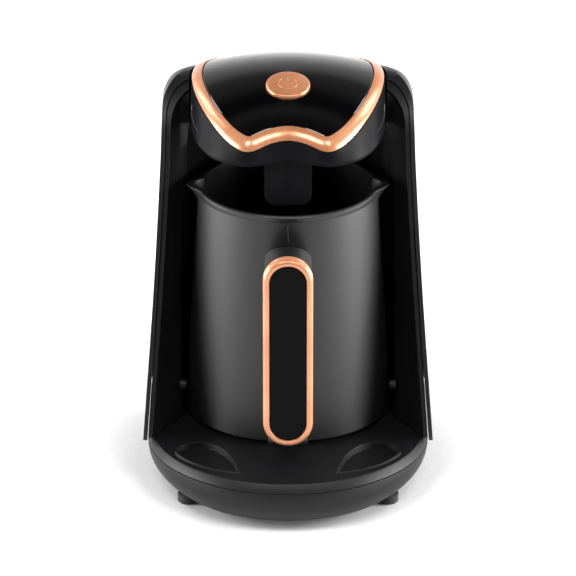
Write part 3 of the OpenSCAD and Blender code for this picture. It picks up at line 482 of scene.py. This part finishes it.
class COFFEE_OT_power_button(bpy.types.Operator):
    """Adds the copper button with its power mark"""

    bl_idname = "coffee.power_button"
    bl_label = "Power button"

    def execute(self, context):
        mark = context.scene.coffee_mark
        copper = copper_lacquer("button_copper_lacquer", roughness=0.3)
        button = smooth_skin("power_button", copper, BUTTON)
        place = self.mark_place(button, mark)
        for piece in (self.open_ring(mark), self.short_bar(mark)):
            piece.data.transform(place)
            finish_piece(piece, copper, BUTTON)
            make_active(piece)
            bpy.ops.object.shade_smooth_by_angle(angle=math.radians(50))
        return {"FINISHED"}

    def mark_place(self, button, mark):
        """The move from the origin to the button's face, which leans with the way that it is pressed."""
        joint = next(j for j in frame["joints"] if j["name"] == "button_press")
        out = -Vector(joint["axis"]).normalized()
        low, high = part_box("switch_plunger")
        plunger = (low + high) / 2
        crest = max(v.co.dot(out) for v in button.data.vertices)
        centre = plunger + out * (crest - plunger.dot(out) - mark.sink)
        turn = Vector((0, 0, 1)).rotation_difference(out).to_matrix().to_4x4()
        return Matrix.Translation(centre) @ turn

    def open_ring(self, mark):
        """The mark's ring, open at the back."""
        ring = self.stroke("power_mark", mark, mark.ring)
        bpy.ops.mesh.delete(type="ONLY_FACE")
        bpy.ops.mesh.select_all(action="SELECT")
        bpy.ops.mesh.spin(
            steps=40, angle=2 * math.pi - mark.gap, center=(0, 0, 0), axis=(0, 0, 1), use_auto_merge=False
        )
        self.close_ends()
        ring.data.transform(Matrix.Rotation((math.pi - mark.gap) / 2, 4, "Z"))
        return ring

    def short_bar(self, mark):
        """The bar that stands in the ring's opening."""
        bar = self.stroke("power_mark_bar", mark, 0)
        bpy.ops.mesh.extrude_region_move(TRANSFORM_OT_translate={"value": (0, mark.bar, 0)})
        self.close_ends()
        bar.data.transform(Matrix.Translation((0, mark.ring - mark.bar / 2, 0)))
        return bar

    def stroke(self, name, mark, across):
        """The square end of the mark's line, stood up with its two top corners rounded."""
        piece = start_plane(name, mark.line, mark.height)
        bpy.ops.transform.rotate(value=-math.pi / 2, orient_axis="X", center_override=(0, 0, 0))
        bpy.ops.transform.translate(value=(across, 0, mark.height / 2))
        select_points(piece, lambda co: co.z > mark.height - FINE_WELD)
        bpy.ops.mesh.bevel(offset=mark.corner, segments=3, affect="VERTICES")
        bpy.ops.mesh.select_all(action="SELECT")
        return piece

    def close_ends(self):
        """Fills the open ends of a stroke and closes it up."""
        bpy.ops.mesh.select_all(action="DESELECT")
        bpy.ops.mesh.select_mode(type="EDGE")
        bpy.ops.mesh.select_non_manifold()
        bpy.ops.mesh.edge_face_add()
        bpy.ops.mesh.select_mode(type="VERT")
        close_up()


class COFFEE_OT_pot(bpy.types.Operator):
    """Moulds the pot and its handle, with the pot's mould line"""

    bl_idname = "coffee.pot"
    bl_label = "Pot and handle"

    def execute(self, context):
        finish = context.scene.coffee_finish
        matte = moulded_abs("pot_moulded_abs", finish.soot, roughness=0.45)
        for name in ("pot_body", "pot_base", "handle_body"):
            smooth_skin(name, matte, POT)
        inset = polished_abs("inset_polished_abs", finish.gloss, coat=0, specular=0.05)
        smooth_skin("handle_inset", inset, POT)
        self.mould_line(context.scene.coffee_seam, matte)
        return {"FINISHED"}

    def mould_line(self, seam, material):
        """The fine line that the mould's halves leave between the lip and the handle."""
        skin = bpy.data.objects["pot_body_skin"]
        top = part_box("pot_body")[1].z - seam.below_rim
        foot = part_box("handle_body")[1].z - seam.behind_handle
        upper = touch(skin, (0, -RAY_START, top), (0, 1, 0))
        lower = touch(skin, (0, -RAY_START, foot), (0, 1, 0))
        line = start_plane("pot_mould_line", seam.width, seam.sunk + seam.height)
        bpy.ops.transform.translate(value=(0, upper.y + (seam.sunk - seam.height) / 2, top))
        run = (0, lower.y - upper.y, lower.z - upper.z)
        bpy.ops.mesh.extrude_region_move(TRANSFORM_OT_translate={"value": run})
        close_up()
        finish_piece(line, material, POT)


class COFFEE_OT_handle_ring(bpy.types.Operator):
    """Shapes the handle's copper ring with a rounded front"""

    bl_idname = "coffee.handle_ring"
    bl_label = "Handle ring"

    def execute(self, context):
        ring = context.scene.coffee_ring
        copper = copper_lacquer("ring_copper_lacquer", roughness=0.3)
        low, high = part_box("handle_ring")
        make_active(smooth_skin("handle_ring", copper, POT, round_below=50))
        self.keep_behind(low.y + ring.depth - ring.lap)
        front = self.rounded_front(ring, low, high)
        finish_piece(front, copper, POT)
        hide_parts("handle_ring")
        return {"FINISHED"}

    def keep_behind(self, depth):
        """Cuts the active piece off at a depth and keeps what lies behind."""
        bpy.ops.object.mode_set(mode="EDIT")
        bpy.ops.mesh.select_all(action="SELECT")
        bpy.ops.mesh.bisect(plane_co=(0, depth, 0), plane_no=(0, 1, 0), use_fill=True, clear_inner=True)
        bpy.ops.object.mode_set(mode="OBJECT")

    def rounded_front(self, ring, low, high):
        """The ring's section with its two front edges rounded, led once round the handle."""
        radius = (high.x - low.x) / 2
        middle = radius - ring.width / 2
        top, bottom = high.z - radius, low.z + radius
        straight = top - bottom
        front = start_plane("handle_ring_front", ring.width, ring.depth)
        bpy.ops.transform.translate(value=(middle, low.y + ring.depth / 2, top))
        face = low.y + WELD
        select_points(front, lambda co: co.y < face and co.x > middle)
        bpy.ops.mesh.bevel(offset=ring.outer_round, segments=8, affect="VERTICES")
        select_points(front, lambda co: co.y < face and co.x < radius - ring.width + WELD)
        bpy.ops.mesh.bevel(offset=ring.inner_round, segments=3, affect="VERTICES")
        bpy.ops.mesh.select_all(action="SELECT")
        bpy.ops.mesh.delete(type="ONLY_FACE")
        bpy.ops.mesh.select_all(action="SELECT")
        # round the top, down one side, round the bottom and up the other
        for height, way in ((top, -1), (bottom, 1)):
            bpy.ops.mesh.spin(
                steps=32, angle=math.pi, center=(0, 0, height), axis=(0, 1, 0), use_auto_merge=False
            )
            bpy.ops.mesh.extrude_region_move(TRANSFORM_OT_translate={"value": (0, 0, way * straight)})
        close_up(WELD)
        bpy.ops.object.shade_smooth_by_angle(angle=math.radians(40))
        return front


class COFFEE_OT_fittings(bpy.types.Operator):
    """Finishes the feet, the gland, the screws, the boards, the wires and the heater"""

    bl_idname = "coffee.fittings"
    bl_label = "Feet and inner parts"

    def execute(self, context):
        rubber = soft_rubber("foot_rubber", context.scene.coffee_finish.rubber)
        for name in ("rubber_feet", "cord_gland"):
            smooth_skin(name, rubber, BODY)
        looks = {
            plain_metal("zinc_screw", "#b9bcc0", 0.32): (
                "base_screws", "shell_screws", "head_screws", "board_screws", "pot_base_screws",
                "handle_screws",
            ),
            plain_metal("rolled_steel", "#c4c6c8", 0.28, brush_mm=0.6): ("heating_plate",),
            plain_metal("cast_aluminium", "#a7aaae", 0.45): ("heat_spreader",),
            plain_metal("element_sheath", "#6f6a66", 0.5): ("heating_element",),
            plain_metal("pin_brass", "#c8a24a", 0.25): ("plug_pins",),
            small_part("board_lacquer", "#1f5b3a", 0.35): ("power_board", "control_board", "boil_sensor"),
            small_part("switch_nylon", "#1b1c1e", 0.5): (
                "pot_socket", "pot_plug", "switch_plunger", "tact_switch", "buzzer", "capacitor",
            ),
            small_part("core_steel", "#3b3a36", 0.5): ("transformer",),
            small_part("relay_case", "#1d3f7a", 0.4): ("relay",),
            small_part("red_wire_sleeve", "#8c2f2a", 0.5): ("wire_harness",),
            small_part("blue_wire_sleeve", "#3a4a78", 0.5): ("socket_wires",),
            small_part("lamp_epoxy", "#e8e4da", 0.2): ("status_led",),
            small_part("window_acrylic", "#1a0c0c", 0.15): ("sensor_window",),
            small_part("seal_silicone", "#a9aaa6", 0.6): ("plate_seal",),
            small_part("thermostat_ceramic", "#c9c2b0", 0.6): ("pot_thermostat",),
        }
        for material, names in looks.items():
            for name in names:
                paint(name, material)
        return {"FINISHED"}


# ------------------------------------------------------------------ stage


class COFFEE_OT_stage(bpy.types.Operator):
    """Sets out the white floor, the lamps and the camera"""

    bl_idname = "coffee.stage"
    bl_label = "Stage"

    floor_size = 6  # metres
    paper_fibre = 10 / 3 * MM  # width of the floor's faint mottling
    paper_tones = ((0.3, 0.76), (0.7, 0.8))
    # metres from the middle of the object, and how brightly the floor glows there: a painted light
    # that is none under the base and grows outwards, so that the floor darkens towards the object as
    # painted shade round the base's real shadow, and full far out, where it stands in for the lamps
    # that thin out there and washes out their shadows
    floor_glow = ((0.08, 0), (0.11, 0.22), (0.25, 0.4), (0.5, 0.4), (1, 1))
    # how steeply a mirrored ray climbs, from level to straight up, and the brightness that it meets
    wall_steps = (
        (0, 1), (0.2, 0.78), (0.345, 0.5), (0.49, 0.34), (0.57, 0.24), (0.64, 0.08), (0.74, 0.04),
        (0.79, 0), (0.83, 0), (0.86, 0.05), (0.9, 0), (0.93, 0.1), (1, 0.1),
    )
    rear_steps = ((0.1, 0.1), (0.5, 1))  # the same by how far it heads to the back
    wall_level = 1.5
    room_level = 0.16  # all that a matte surface gets from the room
    # name, place of the right one, size, and watts of the left and the right one
    softboxes = (
        ("softbox", (1.3, -0.04, 0.36), (0.9, 0.66), (27, 36)),
        ("top_softbox", (0.42, -0.75, 1.4), (0.5, 0.5), (9, 9)),
        ("rear_softbox", (0.9, 0.7, 1.0), (0.5, 0.5), (4, 4)),
    )
    sensor_mm = 36
    clip_range = (0.05, 20)  # metres from the camera

    def execute(self, context):
        stage = context.scene.coffee_stage
        deselect_all()
        bpy.ops.mesh.primitive_plane_add(size=self.floor_size, location=(0, 0, 0))
        floor = bpy.context.object
        floor.name = "floor"
        floor.data.materials.append(self.floor_paper())
        self.world_light(context.scene)
        for number, (side, way) in enumerate((("left", -1), ("right", 1))):
            for kind, (across, deep, high), size, watts in self.softboxes:
                self.lamp(side + "_" + kind, (way * across, deep, high), size, watts[number], stage)
        self.camera(context.scene, stage)
        context.scene.view_settings.view_transform = "Standard"
        return {"FINISHED"}

    def floor_paper(self):
        """White paper: the camera and every gloss see it near white, and it keeps a soft shadow, which a
        painted glow that fades towards the object darkens further.
        """
        material, tree, surface, place = new_material("floor_paper")
        scale = 1 / self.paper_fibre
        fibre = node(tree, "ShaderNodeTexNoise", {"Vector": place, "Scale": scale, "Detail": 2})
        tone = node(tree, "ShaderNodeValToRGB", {"Fac": fibre.outputs["Fac"]}, stops=self.paper_tones)
        path = node(tree, "ShaderNodeLightPath").outputs
        seen = path["Is Camera Ray"]
        for ray in ("Is Glossy Ray", "Is Transmission Ray"):
            seen = node(tree, "ShaderNodeMath", {0: seen, 1: path[ray]}, operation="MAXIMUM").outputs[0]
        reach = node(tree, "ShaderNodeVectorMath", {0: place}, operation="LENGTH")
        # painted light: the floor's glow rises with the distance from the object, leaving painted shade
        # round the base
        white = node(tree, "ShaderNodeValToRGB", {"Fac": reach.outputs["Value"]}, stops=self.floor_glow)
        glow = node(tree, "ShaderNodeMath", {0: seen, 1: white.outputs[0]}, operation="MULTIPLY")
        feed(tree, surface, {
            "Base Color": tone.outputs[0],
            "Roughness": 0.9,
            "Specular IOR Level": 0.1,
            "Emission Color": (1, 1, 1, 1),
            "Emission Strength": glow.outputs[0],
        })
        return material

    def world_light(self, scene):
        """White where the camera looks; for gloss, a bright wall low down at the back of a dark room."""
        world = bpy.data.worlds.new("studio")
        scene.world = world
        world.use_nodes = True
        tree = world.node_tree
        tree.nodes.clear()
        path = node(tree, "ShaderNodeLightPath").outputs
        ray = node(tree, "ShaderNodeTexCoord").outputs["Generated"]
        heading = node(tree, "ShaderNodeSeparateXYZ", {"Vector": ray}).outputs
        height = node(tree, "ShaderNodeValToRGB", {"Fac": heading["Z"]}, stops=self.wall_steps)
        rear = node(tree, "ShaderNodeValToRGB", {"Fac": heading["Y"]}, stops=self.rear_steps)
        wall = node(
            tree, "ShaderNodeMath", {0: height.outputs[0], 1: rear.outputs[0]}, operation="MULTIPLY"
        )
        dim = node(tree, "ShaderNodeBackground", {"Color": (1, 1, 1, 1), "Strength": self.room_level})
        room = node(tree, "ShaderNodeBackground", {"Color": wall.outputs[0], "Strength": self.wall_level})
        white = node(tree, "ShaderNodeBackground", {"Color": (1, 1, 1, 1), "Strength": 1})
        seen = node(
            tree, "ShaderNodeMath", {0: path["Is Camera Ray"], 1: path["Is Transmission Ray"]},
            operation="MAXIMUM",
        )
        shiny = node(
            tree, "ShaderNodeMixShader", {0: path["Is Glossy Ray"], 1: dim.outputs[0], 2: room.outputs[0]}
        )
        mixed = node(
            tree, "ShaderNodeMixShader", {0: seen.outputs[0], 1: shiny.outputs[0], 2: white.outputs[0]}
        )
        node(tree, "ShaderNodeOutputWorld", {"Surface": mixed.outputs[0]})

    def lamp(self, name, place, size, watts, stage):
        deselect_all()
        bpy.ops.object.light_add(type="AREA", location=place)
        lamp = bpy.context.object
        lamp.name = name
        lamp.data.shape = "RECTANGLE"
        lamp.data.size, lamp.data.size_y = size
        lamp.data.energy = watts * stage.lamps
        aim = Vector((0, 0, stage.lamp_aim)) - Vector(place)
        lamp.rotation_euler = aim.to_track_quat("-Z", "Y").to_euler()

    def camera(self, scene, stage):
        aim = Vector((0, stage.aim_depth, stage.aim_height))
        back = Vector((0, -math.cos(stage.elevation), math.sin(stage.elevation)))
        deselect_all()
        bpy.ops.object.camera_add(location=aim + back * stage.distance)
        camera = bpy.context.object
        camera.rotation_euler = (-back).to_track_quat("-Z", "Y").to_euler()
        camera.data.lens = stage.lens
        camera.data.sensor_width = self.sensor_mm
        camera.data.clip_start, camera.data.clip_end = self.clip_range
        scene.camera = camera


# ------------------------------------------------------------------ add-on


class COFFEE_PT_pieces(bpy.types.Panel):
    """Lists the settings, and the pieces in the order they are made"""

    bl_label = "Coffee maker"
    bl_idname = "COFFEE_PT_pieces"
    bl_space_type = "VIEW_3D"
    bl_region_type = "UI"
    bl_category = "Coffee maker"

    def draw(self, context):
        for group, kind in GROUPS.items():
            box = self.layout.box()
            for name in kind.__annotations__:
                box.prop(getattr(context.scene, group), name)
        for step in STEPS:
            self.layout.operator(step.bl_idname)


GROUPS = {
    "coffee_finish": FinishSettings,
    "coffee_mark": MarkSettings,
    "coffee_ring": RingSettings,
    "coffee_seam": SeamSettings,
    "coffee_stage": StageSettings,
}
STEPS = (
    COFFEE_OT_mould_body,
    COFFEE_OT_head_top,
    COFFEE_OT_power_button,
    COFFEE_OT_pot,
    COFFEE_OT_handle_ring,
    COFFEE_OT_fittings,
    COFFEE_OT_stage,
)
KINDS = (*GROUPS.values(), *STEPS, COFFEE_PT_pieces)


def register():
    for kind in KINDS:
        bpy.utils.register_class(kind)
    for name, kind in GROUPS.items():
        setattr(bpy.types.Scene, name, bpy.props.PointerProperty(type=kind))


def unregister():
    for name in GROUPS:
        delattr(bpy.types.Scene, name)
    for kind in reversed(KINDS):
        bpy.utils.unregister_class(kind)


def main():
    register()
    bpy.ops.coffee.mould_body()
    bpy.ops.coffee.head_top()
    bpy.ops.coffee.power_button()
    bpy.ops.coffee.pot()
    bpy.ops.coffee.handle_ring()
    bpy.ops.coffee.fittings()
    bpy.ops.coffee.stage()


if __name__ == "__main__":
    main()
